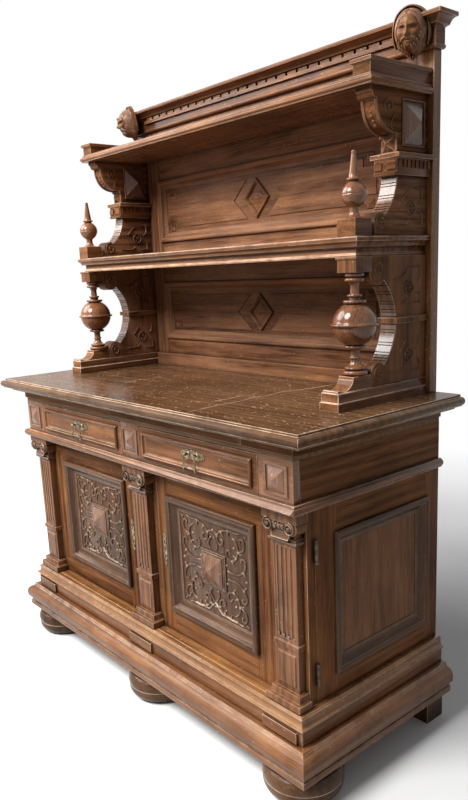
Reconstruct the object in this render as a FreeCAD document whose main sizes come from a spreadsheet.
import FreeCAD, Part
import os
import re
import Sketcher

# Driving sizes of the buffet cabinet, in millimetres.
SIZES = {
    # Lower carcass
    "table_width": "1564",
    "table_depth": "652",
    "table_thick": "44",
    "table_cove": "25",
    "table_cove_reach": "5",
    "table_nose": "22",
    "table_bead": "7",
    "table_quirk": "6",
    "carcass_width": "1400",
    "carcass_depth": "520",
    "case_depth": "588",
    "side_thick": "24",
    "back_thick": "12",
    "partition_thick": "20",
    "shelf_board": "18",
    "cupboard_shelf_rise": "262",
    "cupboard_shelf_setback": "40",
    # Feet and plinth
    "foot_height": "92",
    "foot_radius": "108",
    "foot_sole": "78",
    "foot_neck": "90",
    "foot_inset": "47",
    "rear_foot_width": "92",
    "rear_foot_depth": "76",
    "rear_foot_toe": "56",
    "base_depth": "580",
    "base_thick": "24",
    "plinth_rail": "26",
    "band_height": "36",
    "band_reach": "55",
    "torus_height": "52",
    "torus_reach": "63",
    "torus_top_reach": "38",
    "frieze_height": "40",
    "frieze_reach": "22",
    "tablet_width": "124",
    "tablet_height": "30",
    "tablet_reach": "8",
    "cap_height": "38",
    "cap_reach": "28",
    "cap_top_reach": "16",
    "plinth_fillet": "4",
    # Cupboard doors and the pilasters
    "door_zone": "527",
    "door_thick": "26",
    "door_reveal": "2",
    "door_seat": "0.5",
    "mullion_width": "128",
    "door_stile": "49",
    "door_field_width": "400",
    "door_rail_low": "72",
    "door_rail_high": "75",
    "door_trim_width": "46",
    "door_trim_rise": "14",
    "door_panel_thick": "10",
    "door_panel_sink": "12",
    "trim_lap": "10",
    "boss_width": "88",
    "boss_block": "8",
    "boss_rise": "22",
    "pilaster_inset": "55",
    "shaft_width": "80",
    "shaft_depth": "25",
    "flute_radius": "5.5",
    "flute_pitch": "16",
    "flute_height": "245",
    "foot_step_height": "19",
    "foot_step_reach": "11",
    "die_height": "119",
    "die_tablet_width": "62",
    "die_tablet_height": "86",
    "die_tablet_rise": "4",
    "collar_height": "14",
    "collar_reach": "4",
    "capital_width": "122",
    "capital_height": "82",
    "capital_depth": "42",
    "volute_radius": "19",
    "volute_spread": "40",
    "volute_setback": "2",
    "cushion_setback": "6",
    "flute_lift": "10",
    # Side panels
    "side_stile_rear": "50",
    "side_stile_front": "70",
    "side_rail_low": "55",
    "side_rail_high": "77",
    "side_trim_width": "44",
    "side_trim_rise": "8",
    "side_panel_thick": "8",
    "side_panel_sink": "12",
    # Hinges, locks and brass
    "hinge_length": "64",
    "hinge_low_rise": "48",
    "hinge_high_drop": "76",
    "knuckle_radius": "5",
    "knuckle_clear": "0.4",
    "leaf_thick": "2",
    "leaf_width": "20",
    "hinge_pin_radius": "2.5",
    "hinge_end_clear": "0.5",
    "hinge_cap": "6",
    "pin_clear": "0.05",
    "lock_rise": "266",
    "lock_height": "70",
    "lock_width": "48",
    "lock_thick": "14",
    "lock_clear": "0.3",
    "bolt_height": "18",
    "bolt_thick": "7",
    "bolt_length": "34",
    "bolt_throw": "10",
    "escutcheon_height": "108",
    "escutcheon_width": "20",
    "brass_thick": "2",
    # Drawer case
    "waist_height": "25",
    "waist_reach": "17",
    "drawer_zone": "108",
    "middle_block": "100",
    "case_front_thick": "22",
    "corner_block": "122",
    "block_frame_width": "84",
    "block_frame_height": "80",
    "block_frame_rise": "5",
    "block_boss_width": "66",
    "block_boss_rise": "15",
    "drawer_reveal": "2",
    "drawer_side": "12",
    "drawer_bottom": "8",
    "drawer_depth": "430",
    "drawer_side_height": "84",
    "drawer_trim_inset_x": "19",
    "drawer_trim_inset_z": "14",
    "drawer_trim_width": "18",
    "drawer_trim_rise": "9",
    "guide_width": "15",
    "guide_height": "30",
    "run_clear": "1",
    "glide": "0.3",
    "pull_width": "106",
    "pull_height": "27",
    "pull_lift": "4",
    "pull_post_spread": "38",
    "pull_post_radius": "4",
    "pull_post_reach": "16",
    "bail_wire": "4",
    "bail_drop": "36",
    "bail_pin_clear": "0.06",
    # Serving slide
    "bed_thick": "12",
    "strip_height": "26",
    "strip_reach": "5",
    "strip_depth": "50",
    "slide_low_x": "103",
    "slide_high_x": "522",
    "slide_thick": "21",
    "slide_depth": "450",
    "slide_clear": "1",
    "slide_guide": "14",
    # Gallery
    "gallery_width": "1378",
    "post_width": "52",
    "post_depth": "32",
    "wing_inset": "43",
    "wing_thick": "50",
    "step_low_height": "22",
    "step_high_height": "24",
    "step_reach": "4",
    "plinth_lead": "104",
    "scroll_height": "35",
    "scroll_setback": "36",
    "scroll_nose": "6",
    "scroll_edge": "8",
    "baluster_inset": "36",
    "baluster_height": "259",
    "ball_radius": "57.5",
    "ball_ring": "60.5",
    "ball_ring_height": "8",
    "ball_rise": "130",
    "turning_torus": "13",
    "turning_fillet": "5",
    "turning_cone": "20",
    "turning_collar": "7",
    "turning_step": "2",
    "neck_radius": "11.5",
    "flange_radius": "28",
    "square_width": "62",
    "square_height": "38",
    "square_bead": "6",
    "wing_waist": "161",
    "wing_waist_rise": "164",
    "wing_horn": "212",
    "wing_horn_rise": "52",
    "wing_horn_drop": "61",
    "wing_volute_rise": "20",
    "wing_volute_drop": "26",
    "wing_lip": "4",
    "wing_band_height": "15",
    "wing_band_reach": "8",
    "apron_height": "24",
    "apron_thick": "20",
    "apron_setback": "18",
    "shelf_width": "1368",
    "shelf_depth": "334",
    "shelf_thick": "25",
    "shelf_edge_lip": "11",
    "finial_plinth_height": "43",
    "finial_height": "160",
    "finial_ball": "33",
    "finial_neck": "11.5",
    "finial_ring": "7",
    "finial_groove": "1.5",
    "finial_tip": "5",
    "upper_wing_height": "148",
    "upper_wing_neck": "159",
    "wing_toe_gap": "19",
    "wing_horn_setback": "40",
    "wing_cap_height": "54",
    "wing_cap_reach": "21",
    "wing_cap_lid": "12",
    "pyramid_block_height": "47",
    "corbel_height": "101",
    "corbel_front": "262",
    "corbel_lip": "12",
    "side_boss_width": "84",
    "side_boss_height": "104",
    "side_boss_rise": "26",
    "front_boss_rise": "16",
    "top_shelf_width": "1382",
    "top_shelf_depth": "286",
    "top_shelf_thick": "24",
    "end_block_height": "38",
    "end_block_lip": "10",
    "end_block_margin": "2",
    "end_block_shift": "6",
    "end_block_setback": "12",
    "end_block_overhang": "6",
    "crest_rise": "84",
    "back_board": "20",
    "back_field_inset": "144",
    "back_low_rise": "104",
    "back_low_height": "221",
    "back_high_rise": "476",
    "back_high_height": "230",
    "back_trim_width": "36",
    "back_trim_rise": "9",
    "back_panel_thick": "8",
    "back_panel_sink": "8",
    "back_skirt_height": "46",
    "back_skirt_thick": "14",
    "stud_width": "26",
    "stud_rise": "9",
    "stud_inset": "30",
    "stud_drop": "16",
    "lozenge_width": "122",
    "lozenge_height": "128",
    "lozenge_rise": "16",
    "cornice_height": "77",
    "cornice_reach": "48",
    "cornice_bead": "10",
    "dentil_pitch": "44.5",
    "dentil_gap": "10",
    "dentil_height": "9",
    "dentil_strip": "10",
    "dentil_rise": "10",
    "dentil_run": "1180",
    "mask_height": "118",
    "mask_width": "96",
    "mask_depth": "78",
    "mask_setout": "43",
}

# Levels and lines worked out from the driving sizes.
LINES = {
    "back": "table_depth / 2",
    "half_case": "carcass_width / 2",
    "inner_side": "half_case - side_thick",
    "z_frieze": "foot_height + band_height + torus_height",
    "z_cap": "z_frieze + frieze_height",
    "z_floor": "z_cap + cap_height",
    "z_waist": "z_floor + door_zone",
    "z_case": "z_waist + waist_height",
    "z_bed": "z_case + drawer_zone",
    "z_strip": "z_bed + bed_thick",
    "z_table": "z_strip + strip_height",
    "z_top": "z_table + table_thick",
    "z_ledge": "z_top + step_low_height + step_high_height",
    "z_turning": "z_ledge + scroll_height",
    "z_square": "z_turning + baluster_height",
    "z_apron": "z_square + square_height",
    "z_shelf_low": "z_apron + apron_height",
    "z_shelf": "z_shelf_low + shelf_thick",
    "z_wing_cap": "z_shelf + upper_wing_height",
    "z_block": "z_wing_cap + wing_cap_height",
    "z_corbel": "z_block + pyramid_block_height",
    "z_roof": "z_corbel + corbel_height",
    "z_roof_top": "z_roof + top_shelf_thick",
    "z_crest": "z_roof_top + crest_rise",
    "z_cornice": "z_crest + cornice_height",
    "door_back": "carcass_depth + door_seat",
    "door_face": "door_back + door_thick",
    "door_low": "z_floor + door_reveal",
    "door_high": "z_waist - door_reveal",
    "door_inner": "mullion_width / 2 + door_reveal",
    "door_outer": "half_case - door_reveal",
    "field_left": "door_inner + door_stile",
    "field_right": "field_left + door_field_width",
    "field_low": "door_low + door_rail_low",
    "field_high": "door_high - door_rail_high",
    "field_middle": "(field_left + field_right) / 2",
    "field_level": "(field_low + field_high) / 2",
    "pilaster_x": "half_case - pilaster_inset",
    "pilaster_low": "door_low",
    "pilaster_die": "pilaster_low + 2 * foot_step_height",
    "pilaster_collar": "pilaster_die + die_height",
    "pilaster_shaft": "pilaster_collar + collar_height",
    "pilaster_capital": "door_high - capital_height",
    "hinge_x": "half_case + knuckle_radius + knuckle_clear",
    "hinge_line": "carcass_depth + door_seat / 2",
    "hinge_low": "door_low + hinge_low_rise",
    "hinge_high": "door_high - hinge_high_drop - hinge_length",
    "lock_level": "door_low + lock_rise",
    "lock_line": "door_back + door_thick / 2",
    "drawer_inner": "middle_block / 2 + drawer_reveal",
    "drawer_outer": "half_case - corner_block - drawer_reveal",
    "drawer_middle": "(drawer_inner + drawer_outer) / 2",
    "drawer_low": "z_case + drawer_reveal",
    "drawer_high": "z_bed - drawer_reveal",
    "drawer_level": "(drawer_low + drawer_high) / 2",
    "drawer_back": "case_depth - case_front_thick",
    "pull_level": "drawer_level + pull_lift",
    "bail_level": "pull_level + pull_lift",
    "bail_line": "case_depth + brass_thick + pull_post_reach - pull_post_radius",
    "wing_x": "gallery_width / 2 - wing_inset",
    "wing_in": "wing_x - wing_thick / 2",
    "wing_out": "wing_x + wing_thick / 2",
    "back_field": "gallery_width / 2 - back_field_inset",
    "baluster_setout": "shelf_depth - baluster_inset",
    "end_block_x": "wing_x + end_block_shift",
    "end_block_width": "wing_thick + 2 * end_block_margin",
    "wing_plinth_depth": "baluster_setout + plinth_lead",
    "scroll_rear": "baluster_setout - scroll_setback",
    "scroll_front": "wing_plinth_depth - 1.5 * step_reach",
    "square_front": "baluster_setout + square_width / 2",
    "square_rear": "baluster_setout - square_width / 2",
    "upper_wing_toe": "square_rear - wing_toe_gap",
    "upper_wing_horn": "upper_wing_toe - wing_horn_setback",
    "cap_front": "upper_wing_neck + wing_cap_reach",
    "mask_x": "gallery_width / 2 - mask_setout",
    "mask_level": "z_crest + cornice_height / 2",
}

doc = FreeCAD.newDocument("BuffetCabinet")
sheet = doc.addObject("Spreadsheet::Sheet", "Sizes")
CELLS = [*SIZES.items(), *((name, "=" + rule) for name, rule in LINES.items())]
for row, (alias, text) in enumerate(CELLS, start=1):
    sheet.set(f"A{row}", alias)
    sheet.set(f"B{row}", text)
    sheet.setAlias(f"B{row}", alias)
doc.recompute()

nodes = []

# Fullness of the rounded edges: the rise of an arc over half its chord.
ROUND_NOSE = 0.8
BALL = 0.24
VOLUTE = 0.85
WING_HOLLOW = 0.21


def tied(rule):
    """The rule with each size name pointed at its cell of the sheet."""
    return re.sub(r"\b[a-z][a-z_]*\b(?!\()", lambda word: "Sizes." + word.group(), str(rule))


def value(rule):
    return float(sheet.evalExpression(str(rule)))


def bind(item, prop, rule):
    item.setExpression(prop, tied(rule))


def node(label, item):
    """Marks an object of the document as a sub-part with its own file."""
    item.Label = label
    nodes.append(item)
    return item


def fore(depth):
    """The y of a plane that lies this far in front of the back plane."""
    return f"back - ({depth})"


def span(rear, front):
    return fore(front), fore(rear)


def about(middle, width):
    return f"{middle} - ({width}) / 2", f"{middle} + ({width}) / 2"


def box(x, y, z):
    item = doc.addObject("Part::Box", "Board")
    for prop, axis, (low, high) in (("Length", "x", x), ("Width", "y", y), ("Height", "z", z)):
        bind(item, prop, f"({high}) - ({low})")
        bind(item, f"Placement.Base.{axis}", low)
    return item


def rod(radius, length, x, y, z, along="z"):
    """A round bar from the point given, along +x, -y or +z."""
    item = doc.addObject("Part::Cylinder", "Rod")
    turns = {
        "x": FreeCAD.Rotation(FreeCAD.Vector(0, 1, 0), 90),
        "y": FreeCAD.Rotation(FreeCAD.Vector(1, 0, 0), 90),
        "z": FreeCAD.Rotation(),
    }
    item.Placement.Rotation = turns[along]
    bind(item, "Radius", radius)
    bind(item, "Height", length)
    for axis, rule in zip("xyz", (x, y, z)):
        bind(item, f"Placement.Base.{axis}", rule)
    return item


def pyramid(across, up, base, rise, sideways=False):
    """A four-sided point with a small flat tip, towards -y, or towards +x when sideways."""
    item = doc.addObject("Part::Wedge", "Pyramid")
    middle = [f"(({low}) + ({high})) / 2" for low, high in (across, up)]
    tip = "stud_rise / 18"
    rear = f"-({base})" if sideways else base
    bind(item, "Ymin", f"{rear} - ({rise})")
    bind(item, "Ymax", rear)
    for axis, line, (low, high) in (("X", middle[0], across), ("Z", middle[1], up)):
        bind(item, f"{axis}min", f"{line} - {tip}")
        bind(item, f"{axis}max", f"{line} + {tip}")
        bind(item, f"{axis}2min", low)
        bind(item, f"{axis}2max", high)
    if sideways:
        item.Placement.Rotation = FreeCAD.Rotation(FreeCAD.Vector(0, 0, 1), 90)
    return item


def fuse(*items):
    item = doc.addObject("Part::MultiFuse", "Joined")
    item.Shapes = list(items)
    item.Refine = True
    return item


def cut(base, *tools):
    item = doc.addObject("Part::Cut", "Cut")
    item.Base = base
    item.Tool = tools[0] if len(tools) == 1 else fuse(*tools)
    return item


def group(*items):
    item = doc.addObject("Part::Compound", "Group")
    item.Links = list(items)
    return item


def mirrored(item):
    twin = doc.addObject("Part::Mirroring", "Twin")
    twin.Source = item
    twin.Normal = FreeCAD.Vector(1, 0, 0)
    return twin


def pair(item):
    return group(item, mirrored(item))


def sided(label, item):
    """Right-hand and left-hand nodes of one shape."""
    node(label + "_right", item)
    node(label + "_left", mirrored(item))


def new_body(x="0", y="0", z="0"):
    body = doc.addObject("PartDesign::Body", "Body")
    for axis, rule in zip("xyz", (x, y, z)):
        bind(body, f"Placement.Base.{axis}", rule)
    return body


def draw(body, role, outline, closed=True):
    """A fully constrained sketch: points (u, v), or (u, v, bulge) where an arc leads on.

    A bulge over zero rounds the outline outwards and one under zero hollows it.
    """
    sketch = body.newObject("Sketcher::SketchObject", "Outline")
    plane = next(item for item in body.Origin.OriginFeatures if item.Role == role)
    sketch.AttachmentSupport = [(plane, "")]
    sketch.MapMode = "FlatFace"
    count = len(outline)
    points = [FreeCAD.Vector(value(point[0]), value(point[1]), 0) for point in outline]
    area = sum(start.x * end.y - start.y * end.x for start, end in zip(points, points[1:] + points[:1]))
    ends = []
    for index in range(count if closed else count - 1):
        start = points[index]
        chord = points[(index + 1) % count] - start
        if len(outline[index]) == 3:
            bulge = outline[index][2] if area > 0 else -outline[index][2]
            crown = start + chord * 0.5 + FreeCAD.Vector(chord.y, -chord.x, 0) * (bulge / 2)
            edge = sketch.addGeometry(Part.Arc(start, crown, start + chord))
            ends.append((edge, 1, 2) if bulge > 0 else (edge, 2, 1))
        else:
            edge = sketch.addGeometry(Part.LineSegment(start, start + chord))
            ends.append((edge, 1, 2))
    for index, (edge, start, end) in enumerate(ends):
        follower = ends[(index + 1) % len(ends)]
        if closed or index < len(ends) - 1:
            sketch.addConstraint(Sketcher.Constraint("Coincident", edge, end, follower[0], follower[1]))
        if len(outline[index]) == 3:
            bulge = abs(outline[index][2])
            across, up = (f"({outline[(index + 1) % count][k]}) - ({outline[index][k]})" for k in (0, 1))
            rule = f"sqrt(({across})^2 + ({up})^2) * {(1 + bulge * bulge) / (4 * bulge)}"
            constrain(sketch, rule, "Radius", edge)
    handles = [(edge, start) for edge, start, end in ends]
    if not closed:
        handles.append((ends[-1][0], ends[-1][2]))
    for (edge, corner), point in zip(handles, outline):
        constrain(sketch, point[0], "DistanceX", -1, 1, edge, corner)
        constrain(sketch, point[1], "DistanceY", -1, 1, edge, corner)
    return sketch


def constrain(sketch, rule, kind, *where):
    index = sketch.addConstraint(Sketcher.Constraint(kind, *where, value(rule)))
    bind(sketch, f"Constraints[{index}]", rule)


def prism(outline, low, high, role="YZ_Plane"):
    """An outline in depth and height, thickened across from low to high."""
    body = new_body(x=low) if role == "YZ_Plane" else new_body(y=high)
    feature = body.newObject("PartDesign::Pad", "Pad")
    feature.Profile = draw(body, role, outline)
    bind(feature, "Length", f"({high}) - ({low})")
    return body


def turned(profile, x, y, z):
    """A turning: points of radius and height, closed along the axis."""
    body = new_body(x, y, z)
    sketch = draw(body, "XZ_Plane", [("0", profile[0][1]), *profile, ("0", profile[-1][1])])
    feature = body.newObject("PartDesign::Revolution", "Turning")
    feature.Profile = sketch
    feature.ReferenceAxis = (sketch, ["V_Axis"])
    return body


def swept(body, profile, path, plane="YZ_Plane", path_plane="XY_Plane", closed=False):
    """A moulding: a profile carried along a mitred path."""
    section = draw(body, plane, profile)
    route = draw(body, path_plane, path, closed)
    doc.recompute()
    feature = body.newObject("PartDesign::AdditivePipe", "Moulding")
    feature.Profile = section
    feature.Spine = (route, [f"Edge{n + 1}" for n in range(route.GeometryCount)])
    feature.Transition = "Right corner"
    return body


def edging(half_width, rear, front, profile):
    """A moulding round both ends and the front; profile points are reach and level."""
    section = [(f"{fore(front)} - ({point[0]})", *point[1:]) for point in profile]
    left, right = f"-({half_width})", half_width
    path = [(left, fore(rear)), (left, fore(front)), (right, fore(front)), (right, fore(rear))]
    return swept(new_body(), section, path)


def mitred(profile, half_width, rear, front):
    """A moulding round both ends and the front as three lengths that meet in mitres."""
    moulding = edging(half_width, rear, front, profile)
    reach, inner = "2 * torus_reach", "torus_reach"
    corners = [
        (f"-({half_width}) - {reach}", f"{fore(front)} - {reach}"),
        (f"{half_width} + {reach}", f"{fore(front)} - {reach}"),
        (f"{half_width} - {inner}", f"{fore(front)} + {inner}"),
        (f"-({half_width}) + {inner}", f"{fore(front)} + {inner}"),
    ]
    low, high = profile[0][1], profile[-1][1]
    wedge = new_body(z=low)
    pad = wedge.newObject("PartDesign::Pad", "Pad")
    pad.Profile = draw(wedge, "XY_Plane", corners)
    bind(pad, "Length", f"({high}) - ({low})")
    length = doc.addObject("Part::Common", "Length")
    length.Base = moulding
    length.Tool = wedge
    return group(length, cut(moulding, wedge))


def edged_board(half_width, rear, front, low, high, profile):
    """A board with a moulded edge round both ends and the front, in one piece."""
    body = edging(half_width, rear, front, profile)
    corners = [(f"-({half_width})", fore(rear)), (half_width, fore(rear))]
    corners += [(half_width, fore(front)), (f"-({half_width})", fore(front))]
    core = body.newObject("PartDesign::Pad", "Core")
    sketch = draw(body, "XY_Plane", corners)
    bind(sketch, "AttachmentOffset.Base.z", low)
    core.Profile = sketch
    bind(core, "Length", f"({high}) - ({low})")
    return body


def trim_profile(width, rise, sink, lap):
    """Section of a raised picture-frame moulding: inward distance and height over the frame."""
    return [
        ("0", "0"),
        ("0", f"({rise}) * 0.5", 0.5),
        (f"({width}) * 0.25", rise),
        (f"({width}) * 0.4", f"({rise}) * 0.75", -0.3),
        (width, f"-({sink}) + 2"),
        (width, f"-({sink})"),
        (lap, f"-({sink})"),
        (lap, "0"),
    ]


def front_trim(middle, width, z, face, section):
    """A picture-frame moulding on a plane that faces the front."""
    low, high = z
    body = new_body(x=middle)
    profile = [(f"{fore(face)} - ({rise})", f"{low} + ({inward})", *arc) for inward, rise, *arc in section]
    half = f"({width}) / 2"
    path = [(f"-{half}", low), (half, low), (half, high), (f"-{half}", high)]
    return swept(body, profile, path, "YZ_Plane", "XZ_Plane", closed=True)


def side_trim(y, z, face, section):
    """A picture-frame moulding on a plane that faces +x."""
    rear, low, high = y[1], *z
    body = new_body(y=f"(({y[0]}) + ({rear})) / 2")
    half = f"(({rear}) - ({y[0]})) / 2"
    profile = [(f"{face} + ({rise})", f"{low} + ({inward})", *arc) for inward, rise, *arc in section]
    path = [(f"-({half})", low), (half, low), (half, high), (f"-({half})", high)]
    return swept(body, profile, path, "XZ_Plane", "YZ_Plane", closed=True)


def feet():
    profile = [
        ("foot_sole", "0", 0.45),
        ("foot_radius", "foot_height * 0.48", 0.45),
        ("foot_neck", "foot_height * 0.9"),
        ("foot_neck", "foot_height"),
    ]
    foot_y = fore("base_depth - foot_inset")
    round_feet = [turned(profile, x, foot_y, "0") for x in ("half_case - foot_inset", "0")]
    outer, toe = "half_case + band_reach / 2", "rear_foot_toe"
    bracket = [
        (f"{outer} - rear_foot_width", "foot_height", -0.35),
        (f"{outer} - {toe}", "0"),
        (outer, "0"),
        (outer, "foot_height"),
    ]
    rear = prism(bracket, fore("rear_foot_depth"), "back", "XZ_Plane")
    node("feet", group(round_feet[0], mirrored(round_feet[0]), round_feet[1], rear, mirrored(rear)))


def plinth():
    tall = ("foot_height", "z_floor - base_thick")
    whole = ("-half_case", "half_case")
    front = box(whole, span("base_depth - plinth_rail", "base_depth"), tall)
    rear = box(whole, span("0", "plinth_rail"), tall)
    end = box(("half_case - plinth_rail", "half_case"), span("plinth_rail", "base_depth - plinth_rail"), tall)
    node("plinth_frame", group(front, rear, end, mirrored(end)))
    band_top = "foot_height + band_height"
    step = "plinth_fillet"
    lower = [
        ("0", "foot_height"),
        ("band_reach", "foot_height"),
        ("band_reach", "foot_height + band_height / 2"),
        (f"band_reach - {step}", "foot_height + band_height / 2"),
        (f"band_reach - {step}", f"{band_top} - 2 * {step}"),
        (f"band_reach + {step} / 2", f"{band_top} - 2 * {step}"),
        (f"band_reach + {step} / 2", f"{band_top} - {step}"),
        ("torus_reach", band_top),
        ("torus_reach", f"{band_top} + 2 * {step}", 0.42),
        (f"torus_top_reach + {step}", f"z_frieze - 2.5 * {step}"),
        (f"torus_top_reach + {step}", f"z_frieze - 1.5 * {step}"),
        ("torus_top_reach", f"z_frieze - {step}"),
        ("torus_top_reach", "z_frieze"),
        ("0", "z_frieze"),
    ]
    node("plinth_lower_moulding", mitred(lower, "half_case", "0", "base_depth"))
    board = [("0", "z_frieze"), ("frieze_reach", "z_frieze"), ("frieze_reach", "z_cap"), ("0", "z_cap")]
    level = ("z_frieze + (frieze_height - tablet_height) / 2", "z_cap - (frieze_height - tablet_height) / 2")
    face = "base_depth + frieze_reach"
    tablets = [
        box(about(x, "tablet_width"), span(face, f"{face} + tablet_reach"), level)
        for x in ("-pilaster_x", "0", "pilaster_x")
    ]
    node("plinth_frieze", group(mitred(board, "half_case", "0", "base_depth"), *tablets))
    cap = [
        ("0", "z_cap"),
        (f"cap_reach - {step}", "z_cap"),
        (f"cap_reach - {step}", f"z_cap + {step}"),
        ("cap_reach", f"z_cap + {step}"),
        ("cap_reach", f"z_cap + 2.5 * {step}"),
        (f"cap_reach - {step}", f"z_cap + 2.5 * {step}", -0.3),
        (f"cap_top_reach + {step} / 2", f"z_floor - 3 * {step}"),
        (f"cap_top_reach + {step}", f"z_floor - 2 * {step}"),
        (f"cap_top_reach + {step}", f"z_floor - {step}"),
        ("cap_top_reach", f"z_floor - {step}"),
        ("cap_top_reach", "z_floor"),
        ("0", "z_floor"),
    ]
    node("plinth_cap_moulding", mitred(cap, "half_case", "0", "base_depth"))
    floor = ("z_floor - base_thick", "z_floor")
    node("base_board", box(("-half_case", "half_case"), span("0", "base_depth"), floor))


def hinge_leaf_slots(rear, front):
    """Shallow recesses that take the hinge leaves, in the right-hand side or door."""
    return [
        box((f"half_case - leaf_width", "half_case + 1"), span(rear, front), (low, f"{low} + hinge_length"))
        for low in ("hinge_low", "hinge_high")
    ]


def carcass_sides():
    board = box(("inner_side", "half_case"), span("0", "carcass_depth"), ("z_floor", "z_waist"))
    y = span("side_stile_rear", "carcass_depth - side_stile_front")
    z = ("z_floor + side_rail_low", "z_waist - side_rail_high")
    lap = "trim_lap"
    opening_y = (f"{y[0]} + {lap}", f"{y[1]} - {lap}")
    opening_z = (f"{z[0]} + {lap}", f"{z[1]} - {lap}")
    opening = box(("inner_side", "half_case"), opening_y, opening_z)
    slots = hinge_leaf_slots("carcass_depth - leaf_thick", "carcass_depth")
    node("side_frames", pair(cut(board, opening, *slots)))
    panel_x = ("half_case - side_panel_sink - side_panel_thick", "half_case - side_panel_sink")
    node("side_panels", pair(box(panel_x, opening_y, opening_z)))
    section = trim_profile("side_trim_width", "side_trim_rise", "side_panel_sink", lap)
    node("side_mouldings", pair(side_trim(y, z, "half_case", section)))


def cupboard_inside():
    inside = ("-inner_side", "inner_side")
    node("back_board", box(inside, span("0", "back_thick"), ("z_floor", "z_waist")))
    half = "partition_thick / 2"
    middle = (f"-{half}", half)
    node("partition", box(middle, span("back_thick", "carcass_depth"), ("z_floor", "z_waist")))
    low = "z_floor + cupboard_shelf_rise"
    depth = span("back_thick", "carcass_depth - cupboard_shelf_setback")
    shelf = box((half, "inner_side"), depth, (low, f"{low} + shelf_board"))
    node("cupboard_shelves", pair(shelf))


def pilaster(x):
    """Base, pedestal, fluted shaft and scrolled capital, standing on the plane of the doors."""
    face = "door_face"
    blocks = []

    def block(width, reach, low, high):
        blocks.append(box(about(x, width), span(face, f"{face} + {reach}"), (low, high)))

    block("shaft_width", "shaft_depth", "pilaster_low", "pilaster_capital + capital_height / 3")
    for step in (1, 2):
        reach = f"foot_step_reach * {step}"
        top = f"pilaster_die - foot_step_height * {step - 1}"
        block(f"shaft_width + 2 * {reach}", f"shaft_depth + {reach}", "pilaster_low", top)
    middle = "(pilaster_die + pilaster_collar) / 2"
    low, high = about(middle, "die_tablet_height")
    block("die_tablet_width", "shaft_depth + die_tablet_rise", low, high)
    for low in ("pilaster_collar", "pilaster_capital"):
        block("shaft_width + 2 * collar_reach", "shaft_depth + collar_reach", low, f"{low} + collar_height")
    volute_level = "pilaster_capital + capital_height * 0.56"
    abacus = "pilaster_capital + capital_height * 0.72"
    block("capital_width", "capital_depth", abacus, "door_high")
    block("2 * volute_spread", "capital_depth - cushion_setback", f"{volute_level} - volute_radius * 0.6", abacus)
    for sign in ("-", "+"):
        scroll_x = f"{x} {sign} volute_spread"
        blocks.append(rod("volute_radius", "capital_depth - volute_setback", scroll_x, fore(face), volute_level, "y"))
    flutes = [
        rod(
            "flute_radius",
            "flute_height",
            f"{x} + flute_pitch * {offset}",
            fore(f"{face} + shaft_depth + flute_radius * 0.35"),
            "pilaster_shaft + flute_lift",
        )
        for offset in (-1.5, -0.5, 0.5, 1.5)
    ]
    return cut(fuse(*blocks), *flutes)


def mullion():
    half = "mullion_width / 2"
    post = box((f"-{half}", half), span("carcass_depth", "door_face"), ("z_floor", "z_waist"))
    mortise_x = (f"{half} - bolt_throw - lock_clear", half)
    mortise = lock_part(mortise_x, "bolt_thick", "bolt_height", "lock_clear")
    node("center_pilaster", group(cut(post, mortise, mirrored(mortise)), pilaster("0")))


def lock_part(x, thick, height, room="0"):
    """A block on the line of the locks, or the room for one."""
    depth = about(fore("lock_line"), f"{thick} + 2 * {room}")
    return box(x, depth, about("lock_level", f"{height} + 2 * {room}"))


def doors():
    board = box(("door_inner", "door_outer"), span("door_back", "door_face"), ("door_low", "door_high"))
    lap = "trim_lap"
    field = (f"field_left + {lap}", f"field_right - {lap}")
    level = (f"field_low + {lap}", f"field_high - {lap}")
    opening = box(field, span("door_back", "door_face"), level)
    slots = hinge_leaf_slots("door_back", "door_back + leaf_thick")
    room = "lock_clear"
    lock_x, bolt_x = ("door_inner", "door_inner + lock_width"), ("door_inner", "door_inner + bolt_length")
    lock_pocket = lock_part((lock_x[0], f"{lock_x[1]} + {room}"), "lock_thick", "lock_height", room)
    sided("door_frame", cut(board, opening, lock_pocket, *slots))
    panel_face = "door_face - door_panel_sink"
    panel = box(field, span(f"{panel_face} - door_panel_thick", panel_face), level)
    square = (about("field_middle", "boss_width"), about("field_level", "boss_width"))
    boss_block = box(square[0], span(panel_face, f"{panel_face} + boss_block"), square[1])
    boss = pyramid(*square, fore(f"{panel_face} + boss_block"), "boss_rise")
    sided("door_panel", fuse(panel, boss_block, boss))
    section = trim_profile("door_trim_width", "door_trim_rise", "door_panel_sink", lap)
    trim = front_trim("field_middle", "door_field_width", ("field_low", "field_high"), "door_face", section)
    sided("door_moulding", trim)
    sided("door_pilaster", pilaster("pilaster_x"))
    case = lock_part(lock_x, "lock_thick", "lock_height")
    bolt_room = lock_part((bolt_x[0], f"{bolt_x[1]} + {room}"), "bolt_thick", "bolt_height", room)
    plate_x = "door_inner + door_stile / 2"
    on_face = span("door_face", "door_face + brass_thick")
    plate = box(about(plate_x, "escutcheon_width"), on_face, about("lock_level", "escutcheon_height"))
    keyhole = rod("escutcheon_width / 6", "brass_thick", plate_x, fore("door_face"), "lock_level", "y")
    leaves = [door_hinge(low) for low in ("hinge_low", "hinge_high")]
    sided("door_fittings", group(cut(case, bolt_room), cut(plate, keyhole), *leaves))
    sided("lock_bolt", lock_part(bolt_x, "bolt_thick", "bolt_height"))


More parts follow.
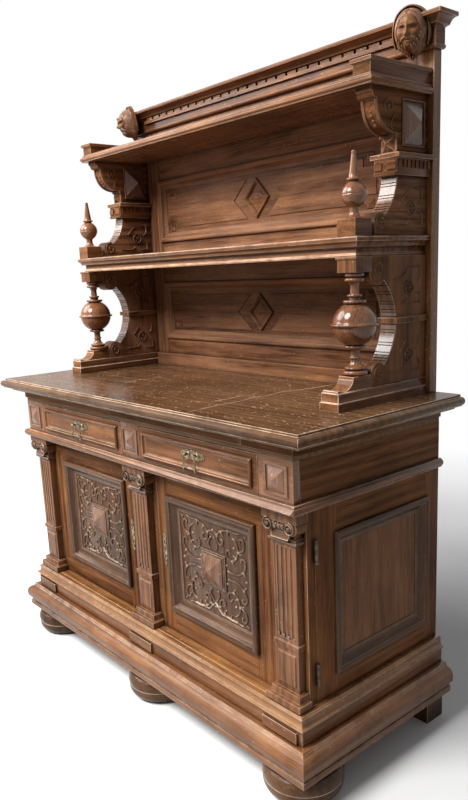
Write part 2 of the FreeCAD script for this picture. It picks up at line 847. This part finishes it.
def door_hinge(low):
    """The door's leaf and its upper knuckle, bored for the pin."""
    half = "hinge_length / 2 - hinge_end_clear"
    knuckle_low = f"{low} + hinge_length / 2 + hinge_end_clear"
    where = ("hinge_x", fore("hinge_line"), knuckle_low)
    depth = span("door_back", "door_back + leaf_thick")
    leaf = box(("half_case - leaf_width", "hinge_x"), depth, (knuckle_low, f"{low} + hinge_length"))
    knuckle = rod("knuckle_radius", half, *where)
    bore = rod("hinge_pin_radius + pin_clear", f"{half} - hinge_cap", *where)
    return cut(fuse(leaf, knuckle), bore)


def carcass_hinges():
    """The carcass leaf, its lower knuckle and the pin that the door hangs on."""
    halves = []
    for low in ("hinge_low", "hinge_high"):
        depth = span("carcass_depth - leaf_thick", "carcass_depth")
        leaf = box(("half_case - leaf_width", "hinge_x"), depth, (low, f"{low} + hinge_length / 2"))
        knuckle = rod("knuckle_radius", "hinge_length / 2", "hinge_x", fore("hinge_line"), low)
        pin_length = "hinge_length - hinge_cap - 2 * hinge_end_clear"
        pin = rod("hinge_pin_radius", pin_length, "hinge_x", fore("hinge_line"), low)
        halves.append(fuse(leaf, knuckle, pin))
    node("carcass_hinges", group(*halves, *(mirrored(half) for half in halves)))


def drawer_case():
    whole = ("-half_case", "half_case")
    node("dust_board", box(whole, span("0", "case_depth"), ("z_waist", "z_case")))
    nose = [
        ("0", "z_waist"),
        ("waist_reach - 6", "z_waist"),
        ("waist_reach - 6", "z_waist + 3", 0.6),
        ("waist_reach - 6", "z_case - 3"),
        ("waist_reach - 9", "z_case"),
        ("0", "z_case"),
    ]
    node("waist_moulding", mitred(nose, "half_case", "0", "case_depth"))
    side = box(("inner_side", "half_case"), span("0", "drawer_back"), ("z_case", "z_bed"))
    rear = box(("-inner_side", "inner_side"), span("0", "back_thick"), ("z_case", "z_bed"))
    node("case_sides", group(side, mirrored(side), rear))
    corner = frieze_block(("half_case - corner_block", "half_case"), "half_case - corner_block / 2 + 3")
    middle = frieze_block(about("0", "middle_block"), "0")
    node("frieze_blocks", group(corner, mirrored(corner), middle))
    inner, outer, wide = "drawer_inner + run_clear", "drawer_outer - run_clear", "guide_width"
    strips = [
        box(x, span("back_thick", "drawer_back"), ("z_case", "z_case + guide_height"))
        for x in ((f"{inner} - {wide}", inner), (outer, f"{outer} + {wide}"))
    ]
    node("drawer_guides", group(*strips, *(mirrored(strip) for strip in strips)))


def frieze_block(x, middle):
    """A block between the drawers with a framed pyramid."""
    body = box(x, span("drawer_back", "case_depth"), ("z_case", "z_bed"))
    level = "(z_case + z_bed) / 2"
    rise = span("case_depth", "case_depth + block_frame_rise")
    rim = box(about(middle, "block_frame_width"), rise, about(level, "block_frame_height"))
    square = (about(middle, "block_boss_width"), about(level, "block_boss_width"))
    sunk = box(square[0], rise, square[1])
    boss = pyramid(*square, fore("case_depth"), "block_boss_rise")
    return fuse(body, cut(rim, sunk), boss)


def drawers():
    level = ("drawer_low", "drawer_high")
    front = box(("drawer_inner", "drawer_outer"), span("drawer_back", "case_depth"), level)
    width, rise = "drawer_trim_width", "drawer_trim_rise"
    bead_and_cove = [
        ("0", "0"),
        ("0", f"{rise} * 0.4", 0.4),
        (f"{width} * 0.35", rise),
        (f"{width} * 0.45", f"{rise} * 0.75", -0.35),
        (width, "0"),
    ]
    trim = front_trim(
        "drawer_middle",
        "drawer_outer - drawer_inner - 2 * drawer_trim_inset_x",
        ("drawer_low + drawer_trim_inset_z", "drawer_high - drawer_trim_inset_z"),
        "case_depth",
        bead_and_cove,
    )
    sided("drawer_front", group(front, trim))
    run = "run_clear"
    tray_x = (f"drawer_inner + {run} + drawer_reveal", f"drawer_outer - {run} - drawer_reveal")
    rear = "drawer_back - drawer_depth"
    tray = box(tray_x, span(rear, "drawer_back"), ("z_case + glide", "z_case + drawer_side_height"))
    inside = box(
        (f"{tray_x[0]} + drawer_side", f"{tray_x[1]} - drawer_side"),
        span(f"{rear} + drawer_side", "drawer_back"),
        ("z_case + glide + drawer_bottom", "z_case + drawer_side_height"),
    )
    sided("drawer_tray", cut(tray, inside))
    pulls()


def pulls():
    """A brass back plate with two bored posts, and the bail that swings in them."""
    face, line, level = "case_depth", fore("bail_line"), "bail_level"
    depth = span(face, f"{face} + brass_thick")
    plate = box(about("drawer_middle", "pull_width"), depth, about("pull_level", "pull_height"))
    radius, post, low = "bail_wire / 2", "pull_post_radius", "bail_level - bail_drop"
    reach = f"({post} + bail_wire / 2)"
    stems, eyes, bars = [], [], []
    for sign in ("-", "+"):
        post_x = f"drawer_middle {sign} pull_post_spread / 2"
        arm_x = f"{post_x} {sign} {reach}"
        stems.append(rod(post, "brass_thick + pull_post_reach", post_x, fore(face), level, "y"))
        eye_x = f"{post_x} - 2 * {post}"
        eyes.append(rod(f"{radius} + bail_pin_clear", f"4 * {post}", eye_x, line, level, "x"))
        bars.append(rod(radius, "bail_drop", arm_x, line, low))
        start = arm_x if sign == "-" else f"{post_x} - {post}"
        bars.append(rod(radius, f"{reach} + {post}", start, line, level, "x"))
        bars += [ball("bail_wire * 0.7", arm_x, line, height) for height in (low, level)]
    end = f"drawer_middle - pull_post_spread / 2 - {reach}"
    bars.append(rod(radius, f"pull_post_spread + 2 * {reach}", end, line, low, "x"))
    sided("pull_plate", cut(fuse(plate, *stems), *eyes))
    sided("pull_bail", fuse(*bars))


def ball(radius, x, y, z):
    item = doc.addObject("Part::Sphere", "Ball")
    bind(item, "Radius", radius)
    for axis, rule in zip("xyz", (x, y, z)):
        bind(item, f"Placement.Base.{axis}", rule)
    return item


def serving_slide():
    bed = box(("-half_case", "half_case"), span("0", "case_depth"), ("z_bed", "z_strip"))
    level = ("z_strip", "z_table")
    low_end, high_end = "-slide_low_x - slide_clear", "slide_high_x + slide_clear"
    rear_of_strip = "case_depth - strip_depth"
    rails = [
        box((low, f"{low} + slide_guide"), span("back_thick", rear_of_strip), level)
        for low in (f"{low_end} - slide_guide", high_end)
    ]
    node("slide_bed", group(bed, *rails))
    front = "case_depth + strip_reach"
    outer = "half_case + strip_reach"
    pieces = [
        box(x, span(rear_of_strip, front), level) for x in ((f"-({outer})", low_end), (high_end, outer))
    ]
    side = box(("inner_side", outer), span("0", rear_of_strip), level)
    rear = box(("-inner_side", "inner_side"), span("0", "back_thick"), level)
    node("strip_rail", group(*pieces, side, mirrored(side), rear))
    low = "z_strip + glide"
    board = box(
        ("-slide_low_x", "slide_high_x"),
        span(f"{front} - slide_depth", front),
        (low, f"{low} + slide_thick"),
    )
    node("serving_slide", board)


def table():
    nose_low = "z_top - table_bead - table_nose"
    profile = [
        ("0", "z_table"),
        ("table_cove_reach", "z_table", -0.4),
        ("table_cove_reach + table_cove", f"{nose_low} - table_bead / 2"),
        ("table_cove_reach + table_cove", nose_low, ROUND_NOSE),
        ("table_cove_reach + table_cove", "z_top - table_bead"),
        ("table_cove_reach + table_cove - table_quirk", "z_top - table_bead"),
        ("table_cove_reach + table_cove - table_quirk", "z_top"),
        ("0", "z_top"),
    ]
    inset = f"(table_cove_reach + table_cove + table_nose * {ROUND_NOSE / 2})"
    half, front = f"table_width / 2 - {inset}", f"table_depth - {inset}"
    node("table_top", edged_board(half, "0", front, "z_table", "z_top", profile))


def wing_plinths():
    """Two steps on the table top, with a scrolled block for the baluster."""
    rear, front = "post_depth", "wing_plinth_depth"
    nose, low_width = "scroll_nose", "square_width + turning_step"
    low = box(about("wing_x", low_width), span(rear, front), ("z_top", "z_top + step_low_height"))
    high = box(
        about("wing_x", "wing_thick + 2 * step_reach"),
        span(rear, f"{front} - step_reach"),
        ("z_top + step_low_height", "z_ledge"),
    )
    outline = [
        (fore("scroll_rear"), "z_ledge"),
        (fore("scroll_rear"), "z_turning"),
        (fore(f"square_front + {nose}"), "z_turning"),
        (fore(f"square_front + {nose}"), "z_turning - scroll_edge", -0.45),
        (fore(f"scroll_front - {nose}"), "z_ledge + scroll_edge"),
        (fore("scroll_front"), f"z_ledge + {nose}"),
        (fore("scroll_front"), "z_ledge"),
    ]
    scroll = prism(outline, *about("wing_x", "wing_thick"))
    node("wing_plinths", pair(fuse(low, high, scroll)))


def balusters():
    """Torus, cone, neck and ball with a ring round it, then rings up to the square block."""
    neck, flange, fillet, step = "neck_radius", "flange_radius", "turning_fillet", "turning_step"
    arm = "sqrt(ball_radius^2 - flange_radius^2)"
    ball_low, ball_high = f"(ball_rise - {arm})", f"(ball_rise + {arm})"
    ring_low, ring_high = about("ball_rise", "ball_ring_height")
    collar = "turning_collar"
    cone_low = f"turning_torus + {collar} + {fillet} / 2"
    profile = [
        (flange, "0", 0.7),
        (flange, "turning_torus"),
        (f"{flange} - {fillet}", "turning_torus"),
        (f"{flange} - {fillet}", f"turning_torus + {fillet} / 2"),
        (f"{flange} - {step}", f"turning_torus + {fillet} / 2", 0.6),
        (f"{flange} - {step}", cone_low),
        (f"{flange} - {fillet}", cone_low, -0.3),
        (neck, f"{cone_low} + turning_cone"),
        (f"{neck} + {step}", f"{cone_low} + turning_cone", 0.7),
        (f"{neck} + {step}", f"{cone_low} + turning_cone + {fillet}"),
        (neck, f"{cone_low} + turning_cone + {fillet}"),
        (neck, f"{ball_low} - 2.4 * {collar}", -0.4),
        (f"{flange} - {step}", f"{ball_low} - 1.5 * {collar}", 0.6),
        (f"{flange} - {step}", f"{ball_low} - {fillet} / 2"),
        (f"{flange} - {fillet}", f"{ball_low} - {fillet} / 2"),
        (f"{flange} - {fillet}", ball_low),
        (flange, ball_low, BALL),
        ("ball_radius", ring_low),
        ("ball_ring", ring_low, 0.7),
        ("ball_ring", ring_high),
        ("ball_radius", ring_high, BALL),
        (flange, ball_high),
        (f"{flange} - {fillet}", ball_high),
        (f"{flange} - {fillet}", f"{ball_high} + {fillet} / 2"),
        (flange, f"{ball_high} + {fillet} / 2", 0.6),
        (flange, f"{ball_high} + 1.6 * {collar}"),
        (f"{neck} + {step}", f"{ball_high} + 1.6 * {collar}", 0.6),
        (f"{neck} + {step}", f"{ball_high} + 2.6 * {collar}"),
        (f"{neck} + 3 * {step}", f"{ball_high} + 2.6 * {collar}", 0.6),
        (f"{neck} + 3 * {step}", f"{ball_high} + 3.6 * {collar}"),
        (neck, f"{ball_high} + 3.6 * {collar}"),
        (neck, f"{ball_high} + 5 * {collar}", -0.3),
        (f"{flange} - 2 * {fillet}", f"baluster_height - 3.2 * {collar}"),
        (f"{flange} - {fillet}", f"baluster_height - 3.2 * {collar}", 0.6),
        (f"{flange} - {fillet}", f"baluster_height - 1.9 * {collar}"),
        (f"{flange} - 2 * {fillet}", f"baluster_height - 1.9 * {collar}"),
        (f"{flange} - 2 * {fillet}", f"baluster_height - 1.5 * {collar}"),
        (f"{flange} - {fillet}", f"baluster_height - 1.5 * {collar}", 0.5),
        (f"{flange} - {fillet}", "baluster_height"),
    ]
    turning = turned(profile, "wing_x", fore("baluster_setout"), "z_turning")
    depth = span("square_rear", "square_front")
    square = box(about("wing_x", "square_width"), depth, ("z_square", "z_apron - square_bead"))
    bead = box(
        about("wing_x", "square_width + square_bead"),
        span("square_rear", "square_front + square_bead / 2"),
        ("z_apron - square_bead", "z_apron"),
    )
    node("balusters", pair(fuse(turning, square, bead)))


def wings():
    """Scrolled side wings between the posts and the balusters, hollow towards the front."""
    rear = fore("post_depth")
    waist = "z_ledge + wing_waist_rise"
    lower = [
        (rear, "z_ledge"),
        (rear, "z_apron"),
        (fore("square_rear"), "z_apron"),
        (fore("square_rear"), "z_apron - wing_volute_drop", VOLUTE),
        (fore("wing_horn"), "z_apron - wing_horn_drop", -WING_HOLLOW),
        (fore("wing_waist"), waist, -WING_HOLLOW),
        (fore("wing_horn"), "z_ledge + wing_horn_rise", VOLUTE),
        (fore("scroll_rear"), "z_ledge + wing_volute_rise"),
        (fore("scroll_rear"), "z_ledge"),
    ]
    band = box(
        about("wing_x", "wing_thick + 2 * wing_band_reach"),
        span("post_depth", "wing_waist + wing_band_reach"),
        about(waist, "wing_band_height"),
    )
    wide = ("wing_in", "wing_out")
    square = box(wide, span("square_rear", "square_front"), ("z_square", "z_apron"))
    scroll = box(wide, span("scroll_rear", "scroll_front"), ("z_ledge", "z_turning"))
    node("lower_wings", pair(cut(fuse(prism(lower, *wide), band), square, scroll)))
    upper = [
        (rear, "z_shelf"),
        (rear, "z_wing_cap"),
        (fore("upper_wing_neck"), "z_wing_cap"),
        (fore("upper_wing_neck"), "z_wing_cap - wing_lip", -WING_HOLLOW),
        (fore("upper_wing_horn"), "z_shelf + wing_horn_rise", VOLUTE),
        (fore("upper_wing_toe"), "z_shelf + wing_volute_rise"),
        (fore("upper_wing_toe"), "z_shelf"),
    ]
    node("upper_wings", pair(prism(upper, *wide)))


def upper_sides():
    """Dentilled cap, pyramid block and rounded corbel that carry the top shelf."""
    frieze_high = "z_block - wing_cap_lid"
    frieze = box(
        about("wing_x", "wing_thick + wing_cap_reach"),
        span("post_depth", "cap_front - wing_lip"),
        ("z_wing_cap", frieze_high),
    )
    top = box(
        about("wing_x", "wing_thick + 2 * wing_cap_reach"),
        span("post_depth", "cap_front"),
        (frieze_high, "z_block"),
    )
    node("wing_caps", pair(fuse(frieze, top)))
    rear = fore("post_depth")
    front = "upper_wing_neck + wing_lip / 2"
    lip = "corbel_lip"
    outline = [
        (rear, "z_block"),
        (rear, "z_roof"),
        (fore("corbel_front"), "z_roof"),
        (fore("corbel_front"), f"z_roof - {lip}"),
        (fore(f"corbel_front - {lip} / 2"), f"z_roof - {lip}", 0.4),
        (fore(f"corbel_front - 1.5 * {lip}"), f"z_roof - 2.2 * {lip}"),
        (fore(f"corbel_front - 2 * {lip}"), f"z_roof - 2.2 * {lip}", 0.45),
        (fore(front), "z_corbel"),
        (fore(front), "z_block"),
    ]
    side = prism(outline, "wing_in", "wing_out")
    boss_z = about("(z_block + z_roof) / 2", "side_boss_height")
    boss_y = about(fore("(post_depth + upper_wing_neck) / 2"), "side_boss_width")
    side_boss = pyramid(boss_y, boss_z, "wing_out", "side_boss_rise", sideways=True)
    low = about("(z_block + z_corbel) / 2", "pyramid_block_height - 2 * wing_lip")
    front_boss = pyramid(about("wing_x", "wing_thick - 2 * wing_lip"), low, fore(front), "front_boss_rise")
    node("corbels", pair(fuse(side, side_boss, front_boss)))


def shelves():
    lip = "shelf_edge_lip"
    edge = [
        ("0", "z_shelf_low"),
        (f"{lip} * 0.2", "z_shelf_low", -0.35),
        (lip, "z_shelf - 12"),
        (lip, "z_shelf - 2"),
        (f"{lip} - 2", "z_shelf"),
        ("0", "z_shelf"),
    ]
    half, front = f"shelf_width / 2 - {lip}", f"shelf_depth - {lip}"
    node("middle_shelf", edged_board(half, "post_depth", front, "z_shelf_low", "z_shelf", edge))
    rim = [
        ("-apron_thick", "z_apron"),
        ("0", "z_apron"),
        ("0", "z_apron + 5"),
        ("-3", "z_apron + 8"),
        ("-3", "z_shelf_low"),
        ("-apron_thick", "z_shelf_low"),
    ]
    half, front = "shelf_width / 2 - apron_setback", "shelf_depth - apron_setback"
    node("shelf_apron", mitred(rim, half, "post_depth", front))
    roll = [
        ("0", "z_roof"),
        (f"{lip} - 5", "z_roof"),
        (f"{lip} - 5", "z_roof + 4", 0.75),
        (f"{lip} - 5", "z_roof_top - 8"),
        (f"{lip} - 8", "z_roof_top - 5"),
        (f"{lip} - 8", "z_roof_top"),
        ("0", "z_roof_top"),
    ]
    half, front = f"top_shelf_width / 2 - {lip}", f"top_shelf_depth - {lip}"
    node("top_shelf", edged_board(half, "post_depth", front, "z_roof", "z_roof_top", roll))
    body = box(
        about("end_block_x", "end_block_width"),
        span("post_depth", "top_shelf_depth - end_block_setback"),
        ("z_roof_top", "z_roof_top + end_block_height - end_block_lip"),
    )
    lid = box(
        about("end_block_x", "end_block_width + 2 * end_block_overhang"),
        span("post_depth", "top_shelf_depth - end_block_setback + end_block_overhang"),
        ("z_roof_top + end_block_height - end_block_lip", "z_roof_top + end_block_height"),
    )
    node("end_blocks", pair(fuse(body, lid)))


def finials():
    """A square plinth, a flared foot, a grooved ball and a spire."""
    depth = span("square_rear", "square_front")
    top = "z_shelf + finial_plinth_height"
    plinth = box(about("wing_x", "square_width - turning_step"), depth, ("z_shelf", top))
    middle, neck, ring = "finial_height * 0.36", "finial_neck", "finial_ring"
    arm = "sqrt(finial_ball^2 - finial_neck^2)"
    groove = "finial_groove"
    profile = [
        ("flange_radius", "0", -0.35),
        (neck, f"({middle} - {arm}) * 0.6"),
        (neck, f"{middle} - {arm}", BALL),
        ("finial_ball", f"{middle} - {groove}"),
        (f"finial_ball - {groove}", middle),
        ("finial_ball", f"{middle} + {groove}", BALL),
        (neck, f"{middle} + {arm}"),
        (f"{neck} + {ring}", f"{middle} + {arm} + {ring} / 3"),
        (f"{neck} + {ring}", f"{middle} + {arm} + {ring}"),
        (f"{neck} + turning_step", f"{middle} + {arm} + {ring} * 1.2"),
        ("finial_tip", "finial_height - finial_tip", 0.8),
        ("finial_tip / 4", "finial_height"),
    ]
    turning = turned(profile, "wing_x", fore("baluster_setout"), top)
    node("finials", group(plinth, mirrored(plinth), turning, mirrored(turning)))


def gallery_back():
    post = box(
        ("gallery_width / 2 - post_width", "gallery_width / 2"),
        span("0", "post_depth"),
        ("z_top", "z_crest"),
    )
    node("posts", pair(post))
    half = "gallery_width / 2 - post_width"
    face = "post_depth"
    board = box((f"-({half})", half), span(f"{face} - back_board", face), ("z_top", "z_crest"))
    lap = "trim_lap"
    levels = [
        ("z_top + back_low_rise", "z_top + back_low_rise + back_low_height"),
        ("z_top + back_high_rise", "z_top + back_high_rise + back_high_height"),
    ]
    openings, panels, trims = [], [], []
    section = trim_profile("back_trim_width", "back_trim_rise", "back_panel_sink", lap)
    panel_face = f"{face} - back_panel_sink"
    for low, high in levels:
        x = (f"-back_field + {lap}", f"back_field - {lap}")
        z = (f"{low} + {lap}", f"{high} - {lap}")
        openings.append(box(x, span(f"{face} - back_board", face), z))
        panels.append(back_panel(x, z, panel_face))
        trims.append(front_trim("0", "2 * back_field", (low, high), face, section))
    node("back_frame", cut(board, *openings))
    node("back_panels", group(*panels))
    skirt_x = "wing_x - square_width / 2 - step_reach"
    skirt = box(
        (f"-({skirt_x})", skirt_x),
        span(face, f"{face} + back_skirt_thick"),
        ("z_top", "z_top + back_skirt_height"),
    )
    node("back_mouldings", group(*trims, skirt))


def back_panel(x, z, face):
    """A plain panel with a raised lozenge and four corner studs."""
    board = box(x, span(f"{face} - back_panel_thick", face), z)
    middle = f"(({z[0]}) + ({z[1]})) / 2"
    level = about(middle, "lozenge_height")
    outline = [
        ("-lozenge_width / 2", middle),
        ("0", level[0]),
        ("lozenge_width / 2", middle),
        ("0", level[1]),
    ]
    lozenge = prism(outline, fore(f"{face} + lozenge_rise / 2"), fore(face), "XZ_Plane")
    inset, drop = "back_trim_width + stud_inset", "back_trim_width + stud_drop"
    studs = [
        pyramid(about(stud_x, "stud_width"), about(stud_z, "stud_width"), fore(face), "stud_rise")
        for stud_x in (f"{x[0]} + {inset}", f"{x[1]} - ({inset})")
        for stud_z in (f"{z[0]} + {drop}", f"{z[1]} - ({drop})")
    ]
    return fuse(board, lozenge, *studs)


def cornice():
    reach, dentil_high = "cornice_reach", "z_crest + cornice_height * 0.65"
    fascia = f"{reach} * 0.2"
    inner = "-post_depth / 2"
    steps = [
        (inner, "z_crest"),
        (f"{reach} * 0.15", "z_crest", 0.5),
        (f"{reach} * 0.25", "z_crest + cornice_bead"),
        (fascia, "z_crest + cornice_bead"),
        (fascia, dentil_high),
        (f"{reach} * 0.5", f"{dentil_high} + cornice_bead / 3", -0.35),
        (f"{reach} * 0.9", "z_cornice - cornice_bead"),
        (reach, "z_cornice - cornice_bead"),
        (reach, "z_cornice"),
        (inner, "z_cornice"),
    ]
    lengths = mitred(steps, "gallery_width / 2", "0", "post_depth")
    face = f"post_depth + {fascia}"
    count = int(value("dentil_run / dentil_pitch"))
    level = (f"{dentil_high} - dentil_height", dentil_high)
    depth = span(face, f"{face} + dentil_rise")
    strip = box(about("0", "dentil_run"), depth, (f"{level[0]} - dentil_strip", level[0]))
    dentils = [
        box(about(f"dentil_pitch * {n - (count - 1) / 2}", "dentil_pitch - dentil_gap"), depth, level)
        for n in range(count)
    ]
    node("cornice", group(lengths, fuse(strip, *dentils)))
    masks(lengths, face)


def masks(lengths, face):
    """Carved heads before the ends of the cornice: an egg-shaped face under a hood of hair."""
    forms = []
    shapes = (
        ("0.42", "0.40", "1.0", "0"),
        ("0.32", "0.50", "0.75", "0.18"),
        ("0.30", "0.26", "0.85", "-0.2"),
    )
    for tall, wide, deep, lift in shapes:
        form = doc.addObject("Part::Ellipsoid", "Form")
        form.Angle1 = -90
        form.Angle2 = 90
        bind(form, "Radius1", f"mask_height * {tall}")
        bind(form, "Radius2", f"mask_width * {wide}")
        bind(form, "Radius3", f"mask_depth * {deep}")
        bind(form, "Placement.Base.x", "mask_x")
        bind(form, "Placement.Base.y", fore("post_depth + cornice_reach * 0.5"))
        bind(form, "Placement.Base.z", f"mask_level + mask_height * {lift}")
        forms.append(form)
    room = about("mask_x", "2 * mask_width")
    behind = box(room, span("-mask_depth", face), about("mask_level", "2 * mask_height"))
    node("masks", pair(cut(cut(fuse(*forms), behind), lengths)))


feet()
plinth()
carcass_sides()
cupboard_inside()
mullion()
doors()
carcass_hinges()
drawer_case()
drawers()
serving_slide()
table()
wing_plinths()
balusters()
wings()
upper_sides()
shelves()
finials()
gallery_back()
cornice()
doc.recompute()

for item in doc.Objects:
    if {"Invalid", "Error"} & set(item.State):
        raise RuntimeError(f"{item.Name} ({item.Label}) failed: {item.State}")
for item in nodes:
    if item.Shape.isNull() or not item.Shape.isValid():
        raise RuntimeError(f"{item.Label} has no valid shape")

os.makedirs("parts", exist_ok=True)
for item in nodes:
    item.Shape.exportStep(f"parts/{item.Label}.step")
    print(item.Label, len(item.Shape.Solids), round(item.Shape.Volume))
print(len(nodes), "nodes")
